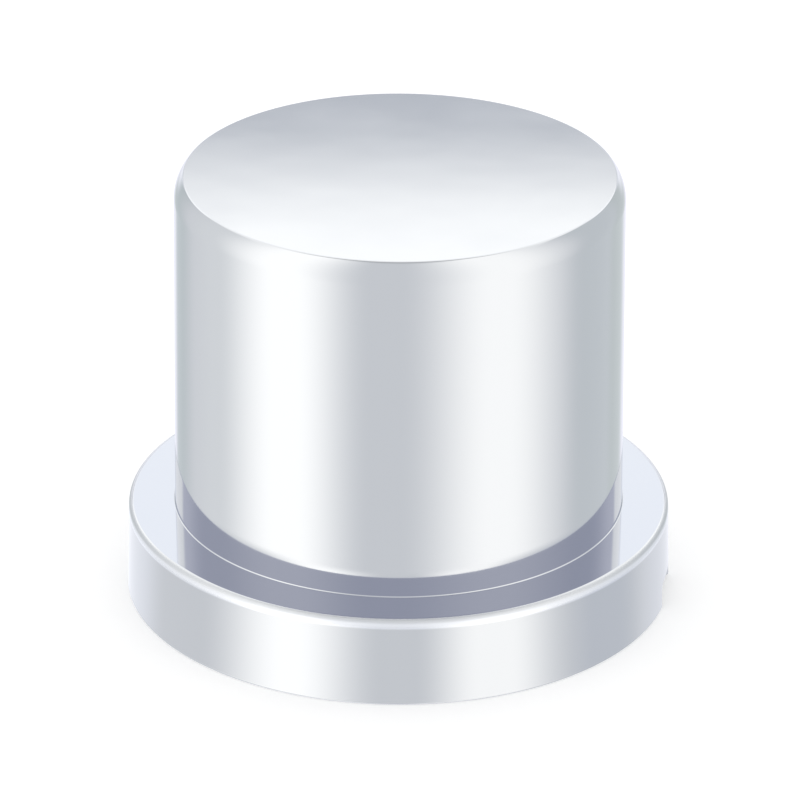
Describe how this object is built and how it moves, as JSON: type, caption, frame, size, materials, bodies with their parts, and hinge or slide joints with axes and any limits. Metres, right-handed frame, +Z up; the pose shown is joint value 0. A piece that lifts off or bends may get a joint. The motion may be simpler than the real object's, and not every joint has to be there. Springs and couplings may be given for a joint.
{
  "type": "wheel nut cover cap",
  "caption": "Flat-topped round push-on cover for a wheel nut, bright chrome plated, with a wide flange, gripping ribs inside and a pry notch.",
  "frame": {"origin": "centre of the foot ring, on the plane that the cap stands on and that meets the wheel", "axes": "+Z up along the axis of the cap towards its flat top, +X through the middle of the pry notch"},
  "size_m": [0.0653, 0.0654, 0.0524],
  "materials": {
    "chrome_plating": "polished"
  },
  "bodies": {
    "root": {"nut_cover_cap": "chrome_plating"}
  },
  "joints": []
}
